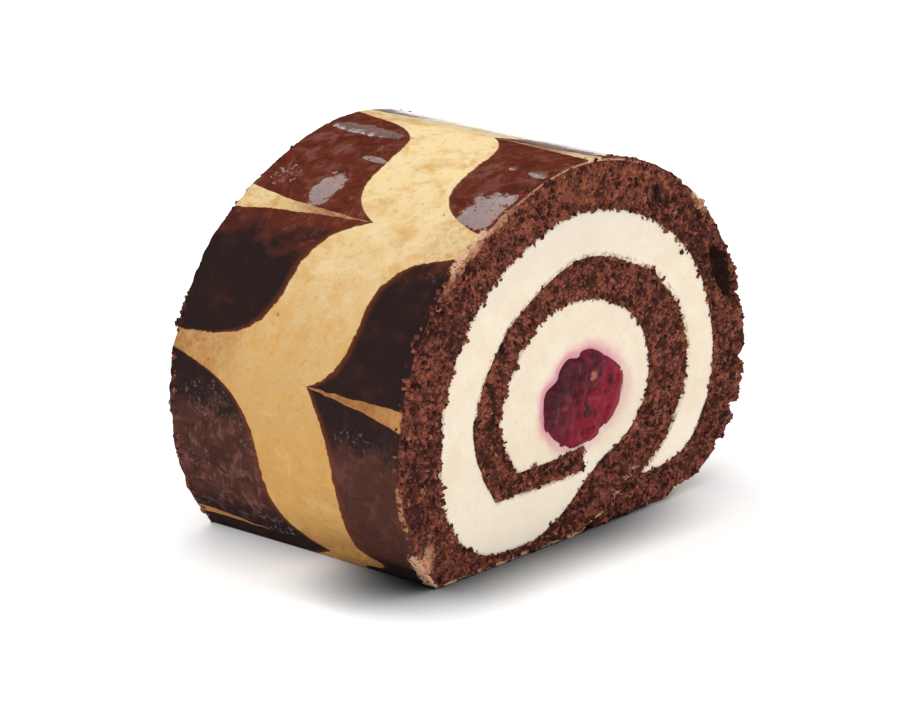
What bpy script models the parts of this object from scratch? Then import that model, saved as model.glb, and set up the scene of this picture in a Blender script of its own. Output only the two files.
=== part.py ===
# A slice-ended swiss roll cake: one long sheet of chocolate sponge, spread with cream,
# rolled up around a row of cherries and set down on the lap of the sheet.
# Metres, +Z up. The roll lies along X, with its cut ends at -X and +X.

import math

import bmesh
import bpy
from mathutils import Vector, noise

ROLL_LENGTH = 0.0513
AXIS_Y = 0.0006
AXIS_Z = 0.0240
CONTACT_GAP = 0.0003

# The sheet seen from the +X end, from its inner end to its lap under the roll.
# Each row is an angle round the roll, from straight down towards -Y (degrees),
# then the distance from the roll's middle to the creamed side and to the outer side.
SHEET_ROUTE = (
    (-10, 0.0180, 0.0260),
    (60, 0.0186, 0.0254),
    (90, 0.0206, 0.0271),
    (120, 0.0187, 0.0253),
    (150, 0.0179, 0.0233),
    (180, 0.0163, 0.0238),
    (210, 0.0163, 0.0241),
    (240, 0.0176, 0.0269),
    (270, 0.0178, 0.0285),
    (300, 0.0160, 0.0260),
    (330, 0.0137, 0.0225),
    (345, 0.0141, 0.0226),
    (360, 0.0161, 0.0242),
    (375, 0.0204, 0.0300),
    (390, 0.0258, 0.0380),
    (420, 0.0353, 0.0438),
    (450, 0.0350, 0.0455),
    (480, 0.0336, 0.0437),
    (510, 0.0315, 0.0402),
    (540, 0.0310, 0.0398),
    (570, 0.0316, 0.0402),
    (600, 0.0340, 0.0423),
    (630, 0.0352, 0.0444),
    (645, 0.0345, 0.0441),
    (660, 0.0318, 0.0402),
    (675, 0.0250, 0.0334),
    (690, 0.0200, 0.0330),
    (720, 0.0200, 0.0330),
)
SHEET_START = -8
INNER_CORNER = 57
OUTER_CORNER = 416.7
SHEET_END = 711

# The lowest height of each side on the first turn and on the turn round it.
INNER_TURN_CREAM_FLOOR = 0.0144
INNER_TURN_SKIN_FLOOR = 0.0106
OUTER_TURN_CREAM_FLOOR = 0.0018
TABLE = 0.0

STATION_STEP = 0.0028
CELLS_ACROSS = 4
CELLS_ALONG = 6

# Torn crumb on the cut ends, and the extra raggedness of the outer rim.
CRUMB_DEPTH = 0.0006
CRUMB_SIZE = 0.0045
RIM_DEPTH = 0.0006
RIM_PITCH = 0.9

CREAM_START = 350
CREAM_END = 675
CREAM_RINGS = 6
CREAM_SPOKES = 54
CREAM_SINK = 0.0003
CREAM_WAVE_SIZE = 0.009

# The room for the sheet is cut from the cream in two overlapping stretches.
FIRST_CUT_END = 400
LAST_CUT_START = 380
PAST_THE_ENDS = 0.002

CHERRY_Y = 0.0014
CHERRY_Z = 0.0237
CHERRY_HALF_WIDTH = 0.0099
CHERRY_HALF_HEIGHT = 0.0078
CHERRY_SPACING = 0.0182
CHERRY_FIRST_X = 0.0215
CHERRY_NECK = 0.20
CHERRY_SIDES = 28
CHERRY_SLICES = 18
CHERRY_WRINKLE = 0.05
CHERRY_FOLDS = 5
CHERRY_FOLD_LENGTH = 0.006


def clear_scene():
    for item in list(bpy.data.objects):
        bpy.data.objects.remove(item, do_unlink=True)


def finish_material(name, color, roughness):
    material = bpy.data.materials.new(name)
    material.use_nodes = True
    shader = material.node_tree.nodes["Principled BSDF"]
    shader.inputs["Base Color"].default_value = (*color, 1.0)
    shader.inputs["Roughness"].default_value = roughness
    shader.inputs["Metallic"].default_value = 0.0
    return material


def make_node(name, vertices, faces, material):
    mesh = bpy.data.meshes.new(name)
    mesh.from_pydata([tuple(v) for v in vertices], [], faces)
    work = bmesh.new()
    work.from_mesh(mesh)
    bmesh.ops.recalc_face_normals(work, faces=work.faces)
    work.to_mesh(mesh)
    work.free()
    node = bpy.data.objects.new(name, mesh)
    bpy.context.collection.objects.link(node)
    mesh.materials.append(material)
    for polygon in mesh.polygons:
        polygon.use_smooth = True
    return node


def route_value(angle, column):
    """A smooth curve through one column of the sheet's route."""
    rows = SHEET_ROUTE
    last = len(rows) - 2
    index = 0
    while index < last and angle > rows[index + 1][0]:
        index += 1

    def slope(i):
        low = max(i - 1, 0)
        high = min(i + 1, len(rows) - 1)
        return (rows[high][column] - rows[low][column]) / (rows[high][0] - rows[low][0])

    span = rows[index + 1][0] - rows[index][0]
    t = min(max((angle - rows[index][0]) / span, 0.0), 1.0)
    start = rows[index][column]
    end = rows[index + 1][column]
    return (
        start * (2 * t**3 - 3 * t**2 + 1)
        + slope(index) * span * (t**3 - 2 * t**2 + t)
        + end * (3 * t**2 - 2 * t**3)
        + slope(index + 1) * span * (t**3 - t**2)
    )


def at_angle(angle, radius, floor):
    """The point of the section at an angle and a radius, lifted no lower than a floor."""
    down = math.cos(math.radians(angle))
    if down > 0.0:
        radius = min(radius, (AXIS_Z - floor) / down)
    return Vector((AXIS_Y - radius * math.sin(math.radians(angle)), AXIS_Z - radius * down))


def skin_side(angle):
    floor = INNER_TURN_SKIN_FLOOR if angle < 180 else TABLE
    return at_angle(angle, route_value(angle, 2), floor)


def cream_side(angle):
    radius = route_value(angle, 1)
    if angle > 540:
        turn_below = (skin_side(angle - 360) - Vector((AXIS_Y, AXIS_Z))).length
        radius = max(radius, turn_below + CONTACT_GAP)
    floor = INNER_TURN_CREAM_FLOOR if angle < 180 else OUTER_TURN_CREAM_FLOOR
    if angle > 540:
        floor = TABLE
    return at_angle(angle, radius, floor)


def sheet_angles(start, end):
    """Stations at even steps along the sheet, with one on each sharp corner."""
    keys = [start] + [k for k in (INNER_CORNER, OUTER_CORNER) if start < k < end] + [end]
    angles = [start]
    for low, high in zip(keys, keys[1:]):
        fine = [low + (high - low) * i / 400 for i in range(401)]
        middle = [(cream_side(a) + skin_side(a)) / 2 for a in fine]
        run = [0.0]
        for p, q in zip(middle, middle[1:]):
            run.append(run[-1] + (q - p).length)
        count = max(1, round(run[-1] / STATION_STEP))
        place = 0
        for i in range(1, count + 1):
            while place < 400 and run[place] < run[-1] * i / count:
                place += 1
            angles.append(fine[place])
    return angles


def grown(points, distance, turn):
    """A line of section points, moved sideways by a distance."""
    moved = []
    for i, point in enumerate(points):
        before = points[max(i - 1, 0)]
        after = points[min(i + 1, len(points) - 1)]
        along = (after - before).normalized()
        moved.append(point + Vector((-along.y, along.x)) * distance * turn)
    return moved


def sheet_section(start, end, growth):
    """Section points, one row across the sheet for each station along it."""
    angles = sheet_angles(start, end)
    inside = grown([cream_side(a) for a in angles], growth, -1)
    outside = grown([skin_side(a) for a in angles], growth, 1)
    rows = []
    for near, far in zip(inside, outside):
        rows.append([near.lerp(far, j / CELLS_ACROSS) for j in range(CELLS_ACROSS + 1)])
    if growth > 0.0:
        for end_row, next_row in ((0, 1), (-1, -2)):
            along = (rows[end_row][2] - rows[next_row][2]).normalized() * growth
            rows[end_row] = [p + along for p in rows[end_row]]
    return rows


def crumb(y, z, side):
    """How deep the torn crumb of a cut end lies behind its highest grains."""
    spot = Vector((y / CRUMB_SIZE, z / CRUMB_SIZE, side * CELLS_ALONG))
    return CRUMB_DEPTH * (0.5 + 0.5 * noise.noise(spot))


def rim(station, side):
    """How far the outer rim of a cut end is broken back at a station of the sheet."""
    spot = Vector((station * RIM_PITCH, side, 0.0))
    return RIM_DEPTH * (0.5 + 0.5 * noise.noise(spot))


def sheet_solid(name, start, end, growth, reach, material):
    """The rolled sheet as one closed solid, with torn crumb on its two cut ends."""
    rows = sheet_section(start, end, growth)
    vertices = []
    places = {}
    faces = []
    half = ROLL_LENGTH / 2 + reach

    def vertex(i, j, k):
        if (i, j, k) not in places:
            point = rows[i][j]
            side = 2 * k / CELLS_ALONG - 1
            x = half * side
            if growth == 0.0 and abs(side) == 1.0:
                x -= side * crumb(point.x, point.y, side)
                if j == CELLS_ACROSS and point.y > CRUMB_SIZE:
                    x -= side * rim(i, side)
            places[(i, j, k)] = len(vertices)
            vertices.append((x, point.x, point.y))
        return places[(i, j, k)]

    last = len(rows) - 1
    for i in range(last):
        for k in range(CELLS_ALONG):
            for j in (0, CELLS_ACROSS):
                faces.append((vertex(i, j, k), vertex(i + 1, j, k),
                              vertex(i + 1, j, k + 1), vertex(i, j, k + 1)))
        for j in range(CELLS_ACROSS):
            for k in (0, CELLS_ALONG):
                faces.append((vertex(i, j, k), vertex(i + 1, j, k),
                              vertex(i + 1, j + 1, k), vertex(i, j + 1, k)))
    for i in (0, last):
        for j in range(CELLS_ACROSS):
            for k in range(CELLS_ALONG):
                faces.append((vertex(i, j, k), vertex(i, j + 1, k),
                              vertex(i, j + 1, k + 1), vertex(i, j, k + 1)))
    return make_node(name, vertices, faces, material)


def capped_tube(name, loops, cap_rings, cap_depth, material):
    """A closed solid through loops of points along X, its two ends dished by cap_depth."""
    vertices = [point for loop in loops for point in loop]
    sides = len(loops[0])
    faces = []
    for i in range(len(loops) - 1):
        for s in range(sides):
            t = (s + 1) % sides
            faces.append((i * sides + s, i * sides + t, (i + 1) * sides + t, (i + 1) * sides + s))
    for loop, first in ((loops[0], 0), (loops[-1], (len(loops) - 1) * sides)):
        middle = sum((Vector(p) for p in loop), Vector()) / sides
        side = 1 if middle.x > 0 else -1
        ring = list(range(first, first + sides))
        for step in range(cap_rings - 1, 0, -1):
            inner = []
            for s in range(sides):
                point = middle.lerp(Vector(loop[s]), step / cap_rings)
                point.x -= side * cap_depth(point.y, point.z, side)
                inner.append(len(vertices))
                vertices.append(point)
            for s in range(sides):
                t = (s + 1) % sides
                faces.append((ring[s], ring[t], inner[t], inner[s]))
            ring = inner
        hub = len(vertices)
        middle.x -= side * cap_depth(middle.y, middle.z, side)
        vertices.append(middle)
        for s in range(sides):
            faces.append((ring[s], ring[(s + 1) % sides], hub))
    return make_node(name, vertices, faces, material)


def cream_surface(y, z, side):
    spot = Vector((y / CREAM_WAVE_SIZE, z / CREAM_WAVE_SIZE, side * CREAM_RINGS))
    return CREAM_SINK * (1.0 + noise.noise(spot))


def cream_block(name, material):
    """Everything inside the middle of the outer turn of the sheet."""
    outline = []
    for i in range(CREAM_SPOKES):
        angle = CREAM_START + (CREAM_END - CREAM_START) * i / (CREAM_SPOKES - 1)
        outline.append((cream_side(angle) + skin_side(angle)) / 2)
    loops = []
    for k in range(CELLS_ALONG + 1):
        x = ROLL_LENGTH * (k / CELLS_ALONG - 0.5)
        loops.append([Vector((x, p.x, p.y)) for p in outline])
    return capped_tube(name, loops, CREAM_RINGS, cream_surface, material)


def cherry_row(name, growth, reach, material):
    """Stoned cherries pressed end to end through the whole roll, cut through at both ends."""
    loops = []
    slices = [ROLL_LENGTH * (k / CHERRY_SLICES - 0.5) for k in range(CHERRY_SLICES + 1)]
    if reach > 0.0:
        slices = [slices[0] - reach] + slices + [slices[-1] + reach]
    for x in slices:
        along = min(max(x, -ROLL_LENGTH / 2), ROLL_LENGTH / 2)
        swing = math.cos(math.pi * (along - CHERRY_FIRST_X) / CHERRY_SPACING)
        plump = 1.0 - CHERRY_NECK * (1.0 - abs(swing)) ** 2
        loop = []
        for s in range(CHERRY_SIDES):
            turn = 2 * math.pi * s / CHERRY_SIDES
            fold = math.sin(CHERRY_FOLDS * turn) * math.cos(along / CHERRY_FOLD_LENGTH)
            wrinkle = 1.0 + CHERRY_WRINKLE * fold
            width = CHERRY_HALF_WIDTH * plump * wrinkle + growth
            height = CHERRY_HALF_HEIGHT * plump * wrinkle + growth
            loop.append(Vector((x, CHERRY_Y + width * math.cos(turn), CHERRY_Z + height * math.sin(turn))))
        loops.append(loop)
    return capped_tube(name, loops, 3, lambda y, z, side: CREAM_SINK / 2, material)


def cut_away(body, cutter):
    """Cut one solid out of another and drop the cutter."""
    cut = body.modifiers.new("room for " + cutter.name, "BOOLEAN")
    cut.operation = "DIFFERENCE"
    cut.solver = "EXACT"
    cut.object = cutter
    bpy.context.view_layer.update()
    shape = body.evaluated_get(bpy.context.evaluated_depsgraph_get())
    mesh = bpy.data.meshes.new_from_object(shape)
    body.modifiers.clear()
    body.data = mesh
    bpy.data.objects.remove(cutter, do_unlink=True)


def centre_on_box(nodes):
    """Put the middle of the underside of the whole roll on the origin."""
    corners = [v.co for node in nodes for v in node.data.vertices]
    middle_x = (min(c.x for c in corners) + max(c.x for c in corners)) / 2
    middle_y = (min(c.y for c in corners) + max(c.y for c in corners)) / 2
    for node in nodes:
        for v in node.data.vertices:
            v.co.x -= middle_x
            v.co.y -= middle_y


clear_scene()
sponge_finish = finish_material("chocolate sponge", (0.10, 0.030, 0.022), 0.85)
cream_finish = finish_material("whipped cream", (0.88, 0.78, 0.62), 0.55)
cherry_finish = finish_material("dark cherry", (0.20, 0.012, 0.030), 0.25)

sponge = sheet_solid("sponge", SHEET_START, SHEET_END, 0.0, 0.0, sponge_finish)
cherries = cherry_row("cherries", 0.0, 0.0, cherry_finish)
cream = cream_block("cream", cream_finish)

# The room for the sheet and the cherries is cut out of the cream, a contact gap wider all round.
first_turn = sheet_solid(
    "first turn", SHEET_START, FIRST_CUT_END, CONTACT_GAP, PAST_THE_ENDS, cream_finish)
cut_away(cream, first_turn)
last_turn = sheet_solid(
    "last turn", LAST_CUT_START, SHEET_END, CONTACT_GAP, PAST_THE_ENDS, cream_finish)
cut_away(cream, last_turn)
cherry_room = cherry_row("cherry room", CONTACT_GAP, PAST_THE_ENDS, cream_finish)
cut_away(cream, cherry_room)

centre_on_box([sponge, cream, cherries])
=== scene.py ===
import math

import bpy
import numpy as np
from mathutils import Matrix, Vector, noise
from mathutils.geometry import delaunay_2d_cdt


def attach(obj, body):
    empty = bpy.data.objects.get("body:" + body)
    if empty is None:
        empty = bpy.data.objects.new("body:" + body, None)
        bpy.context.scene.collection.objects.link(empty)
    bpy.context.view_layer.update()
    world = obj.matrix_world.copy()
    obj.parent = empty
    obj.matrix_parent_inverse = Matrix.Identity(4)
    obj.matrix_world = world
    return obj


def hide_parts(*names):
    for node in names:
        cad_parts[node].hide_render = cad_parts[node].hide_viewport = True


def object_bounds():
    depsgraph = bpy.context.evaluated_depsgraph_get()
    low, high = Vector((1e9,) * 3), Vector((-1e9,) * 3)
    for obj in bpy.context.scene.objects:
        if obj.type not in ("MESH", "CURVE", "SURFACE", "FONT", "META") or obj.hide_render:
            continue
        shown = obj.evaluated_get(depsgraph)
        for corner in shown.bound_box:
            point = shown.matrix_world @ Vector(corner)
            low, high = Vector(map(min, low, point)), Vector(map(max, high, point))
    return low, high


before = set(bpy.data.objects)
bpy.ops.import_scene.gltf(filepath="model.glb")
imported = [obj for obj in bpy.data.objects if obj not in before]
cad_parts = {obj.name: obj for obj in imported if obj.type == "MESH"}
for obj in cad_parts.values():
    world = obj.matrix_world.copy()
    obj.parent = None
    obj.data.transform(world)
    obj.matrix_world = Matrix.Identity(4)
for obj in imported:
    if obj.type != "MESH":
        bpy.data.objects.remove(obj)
cad_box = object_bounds()


# Chocolate sponge
# One thin sheet of whisked chocolate sponge, baked flat, spread with cream and rolled up.
# Both ends of the roll are sawn through, so the torn crumb shows as a spiral, and the last
# stretch of the sheet is tucked under, which gives the roll its flat foot.

ROLL_LENGTH = 0.0513
AXIS_Y = 0.0006
AXIS_Z = 0.024

# Angle round the roll from straight down towards -Y (degrees), then the distance from the
# roll's middle to the creamed side of the sheet and to its outer side.
SHEET_ROUTE = (
    (-10, 0.018, 0.026),
    (60, 0.0186, 0.0254),
    (90, 0.0206, 0.0271),
    (120, 0.0187, 0.0253),
    (150, 0.0179, 0.0233),
    (180, 0.0163, 0.0238),
    (210, 0.0163, 0.0241),
    (240, 0.0176, 0.0269),
    (270, 0.0178, 0.0285),
    (300, 0.016, 0.026),
    (330, 0.0137, 0.0225),
    (345, 0.0141, 0.0226),
    (360, 0.0161, 0.0242),
    (375, 0.0204, 0.03),
    (390, 0.0258, 0.038),
    (420, 0.0353, 0.0438),
    (450, 0.035, 0.0455),
    (480, 0.0336, 0.0437),
    (510, 0.0315, 0.0402),
    (540, 0.031, 0.0398),
    (570, 0.0316, 0.0402),
    (600, 0.034, 0.0423),
    (630, 0.0352, 0.0444),
    (645, 0.0345, 0.0441),
    (660, 0.0318, 0.0402),
    (675, 0.025, 0.0334),
    (690, 0.02, 0.033),
    (720, 0.02, 0.033),
)
SHEET_START = -8
INNER_CORNER = 57
OUTER_CORNER = 416.7
SHEET_END = 711
INNER_TURN_CREAM_FLOOR = 0.0144
INNER_TURN_SKIN_FLOOR = 0.0106
OUTER_TURN_CREAM_FLOOR = 0.0018
TABLE = 0.0
LAP_GAP = 0.0003

CRUMB_STEP = 0.00031
CRUMB_CELLS_ACROSS = 26
CRUMB_SETBACK = 0.00015
TORN_EDGE = 0.00075
CHIP_DEPTH = 0.0019
TAIL_WEAR = 0.0005

# Distances behind the cut end at which the sides of the sheet have a row of points, how much
# of the tearing reaches each row, and how far each lies under the skin.
SIDE_ROWS = (0.0, 0.00035, 0.0007, 0.0011, 0.0016, 0.0034)
TORN_REACH = (1.0, 0.98, 0.95, 0.88, 0.7, 0.0)
SKIN_COVER = (0.00034, 0.00008, 0.00006, 0.00014, 0.00045, 0.00064)

# Places round the roll, in millimetres of skin from the foot's front corner, where the
# right-hand rim has broken away, with the half width of each chip.
RIM_CHIPS = ((161.3, 1.3), (170.8, 1.7), (149.5, 0.9), (178.0, 1.3), (122.0, 0.7))
RAGGED_FROM = 118.0
RAGGED_GROWTH = 20

# Where the rim is pale and where it is glazed, measured the same way: it starts, is at its
# full, fades and is gone.
PALE_RIM = (53, 58, 70, 78)
GLAZED_RIM = (70, 78, 100, 110)

# Angles between which the skin of the inner turn has teeth, and the creamed side long fringes.
TOOTHED = (96, 128, 262, 292)
FRINGED = (560, 574, 600, 616)

# Places round the far rim, measured the same way, where crumbs stand out, with the half width
# and the height of each in millimetres.
FAR_SPURS = ((41.4, 0.9, 0.9), (39.0, 1.0, 1.1), (33.4, 0.7, 0.6), (24.0, 0.8, 0.5))

# Pressed hollows and one open slit in the crumb of the front cut end, all painted dark
# with shade through the pit mark: y, z, half size in y, half size in z, tilt (radians), depth.
CRUMB_HOLLOWS = (
    (0.038, 0.0372, 0.0019, 0.0056, 0.5, 0.0026),
    (-0.0018, 0.0584, 0.0034, 0.0015, 0.1, 0.0004),
    (0.02, 0.055, 0.0042, 0.0018, -0.45, 0.0006),
    (0.0094, 0.047, 0.0018, 0.0009, -0.2, 0.0004),
    (-0.0196, 0.036, 0.001, 0.0016, 0.0, 0.0005),
    (0.004, 0.0438, 0.0016, 0.0009, 0.0, 0.0003),
    (0.0118, 0.0604, 0.003, 0.001, -0.12, 0.0004),
    (-0.033, 0.027, 0.0011, 0.0024, 0.1, 0.0004),
    (0.0412, 0.0225, 0.0012, 0.003, -0.1, 0.0004),
    (0.03, 0.0165, 0.0024, 0.001, 0.6, 0.0003),
    (-0.0262, 0.006, 0.003, 0.0009, 0.05, 0.0003),
)

# Worn pale places on the rim of the front cut end, and cream smeared along the lap's seam:
# y, z, half size in y, half size in z, tilt (radians).
WORN_SPOTS = (
    (-0.0388, 0.0044, 0.0021, 0.0036, -0.45), (-0.0448, 0.0155, 0.0008, 0.003, 0.1),
    (0.0312, 0.0512, 0.003, 0.0011, -0.85))
SEAM_SMEARS = ((0.0142, 0.0074, 0.0032, 0.0005, 0.42), (0.0096, 0.0046, 0.0016, 0.0004, 0.7))


def route_radius(angles, column):
    """A smooth curve through one column of the sheet's route."""
    rows = np.array(SHEET_ROUTE)
    at = rows[:, 0]
    value = rows[:, column]
    slope = np.empty(len(rows))
    slope[1:-1] = (value[2:] - value[:-2]) / (at[2:] - at[:-2])
    slope[0] = (value[1] - value[0]) / (at[1] - at[0])
    slope[-1] = (value[-1] - value[-2]) / (at[-1] - at[-2])
    i = np.clip(np.searchsorted(at, angles, side="left") - 1, 0, len(rows) - 2)
    span = at[i + 1] - at[i]
    t = (angles - at[i]) / span
    return (
        value[i] * (2 * t**3 - 3 * t**2 + 1)
        + slope[i] * span * (t**3 - 2 * t**2 + t)
        + value[i + 1] * (3 * t**2 - 2 * t**3)
        + slope[i + 1] * span * (t**3 - t**2)
    )


def at_angles(angles, radii, floors):
    """Section points (y, z) at angles and radii, none of them below its floor."""
    down = np.cos(np.radians(angles))
    safe = np.where(down > 1e-6, down, 1.0)
    limit = np.where(down > 1e-6, (AXIS_Z - floors) / safe, 1.0)
    radii = np.minimum(radii, limit)
    return np.stack([AXIS_Y - radii * np.sin(np.radians(angles)), AXIS_Z - radii * down], 1)


def skin_side(angles):
    floors = np.where(angles < 180, INNER_TURN_SKIN_FLOOR, TABLE)
    return at_angles(angles, route_radius(angles, 2), floors)


def cream_side(angles):
    radii = route_radius(angles, 1)
    below = skin_side(np.maximum(angles - 360, SHEET_START)) - (AXIS_Y, AXIS_Z)
    lap = np.hypot(below[:, 0], below[:, 1]) + LAP_GAP
    radii = np.where(angles > 540, np.maximum(radii, lap), radii)
    floors = np.where(angles < 180, INNER_TURN_CREAM_FLOOR, OUTER_TURN_CREAM_FLOOR)
    return at_angles(angles, radii, np.where(angles > 540, TABLE, floors))


def even_angles(line, start, end, step):
    """Angles at even steps along a line of the section, with one on each sharp corner."""
    keys = [start] + [k for k in (INNER_CORNER, OUTER_CORNER) if start < k < end] + [end]
    angles = [np.array([float(start)])]
    for low, high in zip(keys, keys[1:]):
        fine = np.linspace(low, high, 3000)
        run = length_along(line(fine))
        count = max(1, round(run[-1] / step))
        angles.append(np.interp(np.linspace(0, run[-1], count + 1)[1:], run, fine))
    return np.concatenate(angles)


def length_along(points):
    return np.concatenate([[0.0], np.cumsum(np.hypot(*np.diff(points, axis=0).T))])


def sideways(points):
    """Unit normals of a line of section points, to the outer side of the roll."""
    along = np.gradient(points, axis=0)
    along /= np.hypot(*along.T)[:, None]
    return np.stack([-along[:, 1], along[:, 0]], 1)


def sheet_middle(angles):
    return (cream_side(angles) + skin_side(angles)) / 2


def ripple(run, size, row):
    """Smooth chance values in -1..1 along a length, one row for each use."""
    return np.array([noise.noise(Vector((r / size, row * 3.7, 0.5))) for r in run])


def smooth_step(value, low, high):
    t = np.clip((value - low) / (high - low), 0.0, 1.0)
    return t * t * (3 - 2 * t)


def span(value, low, full, fading, gone):
    """1 from full to fading, and 0 below low and above gone."""
    return smooth_step(value, low, full) * (1 - smooth_step(value, fading, gone))


foot_run = length_along(skin_side(np.linspace(SHEET_START, OUTER_CORNER, 6000)))[-1]
all_angles = np.linspace(SHEET_START, SHEET_END, 12000)
all_run = length_along(skin_side(all_angles)) - foot_run
whole_outline = skin_side(np.linspace(OUTER_CORNER, SHEET_END, 6000))
CENTRE_SHIFT = (whole_outline[:, 0].min() + whole_outline[:, 0].max()) / 2


def skin_run(angles):
    """Length of skin from the foot's front corner to each angle, in metres."""
    return np.interp(angles, all_angles, all_run)


def rim_chips(run_mm):
    """How much of the rim is missing, 0 to 1, at a length of skin from the foot's corner."""
    missing = np.zeros(len(run_mm))
    for place, half_width in RIM_CHIPS:
        missing = np.maximum(missing, np.clip(1 - np.abs(run_mm - place) / half_width, 0, 1))
    return missing


def rim_spurs(run_mm):
    """How far the far rim stands out, in metres, at a length of skin from the foot's corner."""
    height = np.zeros(len(run_mm))
    for place, half_width, rise in FAR_SPURS:
        spur = np.clip(1 - np.abs(run_mm - place) / half_width, 0, 1)
        height = np.maximum(height, 0.001 * rise * spur)
    return height


def inside_box(points):
    """Points moved by the centring shift and held inside the solid model's box."""
    low = np.array(cad_box[0])
    high = np.array(cad_box[1])
    return np.clip(points - (0.0, CENTRE_SHIFT, 0.0), low, high)


def block_faces(index):
    """Quads over the six sides of a block of numbered points."""
    def side(grid, turned):
        a, b, c, d = grid[:-1, :-1], grid[1:, :-1], grid[1:, 1:], grid[:-1, 1:]
        order = (a, d, c, b) if turned else (a, b, c, d)
        return np.stack([corner.ravel() for corner in order], 1)

    return np.concatenate([
        side(index[:, :, 0], True), side(index[:, :, -1], False),
        side(index[:, 0, :], False), side(index[:, -1, :], True),
        side(index[0, :, :], True), side(index[-1, :, :], False),
    ])


def plain_mesh(name, points, faces, attributes):
    """A piece from points and faces, with a number per point for each named attribute."""
    mesh = bpy.data.meshes.new(name)
    mesh.from_pydata(points.tolist(), [], faces)
    for key, values in attributes.items():
        layer = mesh.attributes.new(key, "FLOAT", "POINT")
        layer.data.foreach_set("value", np.ascontiguousarray(values, np.float32))
    piece = bpy.data.objects.new(name, mesh)
    bpy.context.scene.collection.objects.link(piece)
    mesh.shade_smooth()
    return piece


def block_mesh(name, points, attributes):
    """A closed mesh over the outside of a block of points[i, j, k]."""
    shape = points.shape[:3]
    outside = np.ones(shape, bool)
    outside[1:-1, 1:-1, 1:-1] = False
    index = np.full(shape, -1)
    index[outside] = np.arange(outside.sum())
    corners = inside_box(points[outside])
    faces = block_faces(index)
    a, b, c = (corners[faces[:, n]] for n in (0, 1, 2))
    d = corners[faces[:, 3]]
    volume = (a * np.cross(b, c)).sum() + (a * np.cross(c, d)).sum()
    if volume < 0:
        faces = faces[:, ::-1]
    marks = {key: values[outside] for key, values in attributes.items()}
    return plain_mesh(name, corners, faces.tolist(), marks)


crumb_angles = even_angles(sheet_middle, SHEET_START, SHEET_END, CRUMB_STEP)
crumb_run = skin_run(crumb_angles)
cream_line = cream_side(crumb_angles)
skin_line = skin_side(crumb_angles)
cream_out = sideways(cream_line)
skin_out = sideways(skin_line)
front_levels = [ROLL_LENGTH / 2 - CRUMB_SETBACK - row for row in SIDE_ROWS]
crumb_levels = front_levels + [-x for x in reversed(front_levels)]
across = np.linspace(0, 1, CRUMB_CELLS_ACROSS + 1)
crumb_points = np.zeros((len(crumb_angles), len(across), len(crumb_levels), 3))
thickness = np.hypot(*(skin_line - cream_line).T)
thin = smooth_step(thickness, 0.0012, 0.004)
run_mm = crumb_run * 1000
ragged = smooth_step(run_mm, RAGGED_FROM, RAGGED_FROM + RAGGED_GROWTH) * smooth_step(crumb_angles, 400, 430)
next_to_cream = 1 - smooth_step(crumb_angles, 315, 345)
lumpy = next_to_cream * smooth_step(crumb_angles, 95, 150)
rough = 0.00018 + ragged * 0.00085 + next_to_cream * 0.00022 + lumpy * 0.00025
toothed = span(crumb_angles, *TOOTHED)
fringed = span(crumb_angles, *FRINGED)
tail = 1 - smooth_step(np.arange(len(crumb_angles)) * CRUMB_STEP, 0.0, 0.0016)
for k, x in enumerate(crumb_levels):
    near_end = x > 0
    first = 10 if near_end else 20
    torn = (TORN_REACH + TORN_REACH[::-1])[k]
    cover = (SKIN_COVER + SKIN_COVER[::-1])[k]
    row = (SIDE_ROWS + SIDE_ROWS[::-1])[k] * 900
    spikes = ripple(crumb_run, 0.00048, first + row) * 1.5
    bites = 0.7 * ripple(crumb_run, 0.0012, first + 1 + row) + 0.6 * ripple(crumb_run, 0.0032, first + 2)
    inner = TORN_EDGE * (spikes + bites) * torn * thin * (1 + 0.8 * fringed)
    wear = 0.5 + 0.7 * ripple(crumb_run, 0.0009, first + 3 + row) + 0.5 * ripple(crumb_run, 0.0035, first + 4)
    wear = np.clip(wear, 0, 2) + np.abs(ripple(crumb_run, 0.0005, first + 6 + row)) * (0.5 + next_to_cream)
    outer = cover * (1 - next_to_cream) + torn * thin * wear * rough
    outer = outer + torn * CHIP_DEPTH * rim_chips(run_mm) * near_end
    outer = outer - torn ** 8 * rim_spurs(run_mm) * (not near_end)
    teeth = (
        1.4 * ripple(crumb_run, 0.0005, first + 7 + row) + 0.7 * ripple(crumb_run, 0.0013, first + 8 + row)
        + 0.5 * ripple(crumb_run, 0.0034, first + 9))
    outer = outer + TORN_EDGE * 0.85 * teeth * toothed * torn * thin
    outer = np.minimum(outer, 0.45 * thickness)
    near = cream_line - cream_out * inner[:, None]
    far = skin_line - skin_out * outer[:, None]
    section = near[:, None, :] + (far - near)[:, None, :] * across[None, :, None]
    tail_run = np.gradient(section[:, len(across) // 2], axis=0) / CRUMB_STEP
    worn = TAIL_WEAR * (1.6 * ripple(across, 0.13, first + 5 + row) * torn + 8.0 * (across - 0.5) ** 2)
    section = section + tail[:, None, None] * tail_run[:, None, :] * worn[None, :, None]
    crumb_points[:, :, k, 0] = x
    crumb_points[:, :, k, 1:] = section

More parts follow.
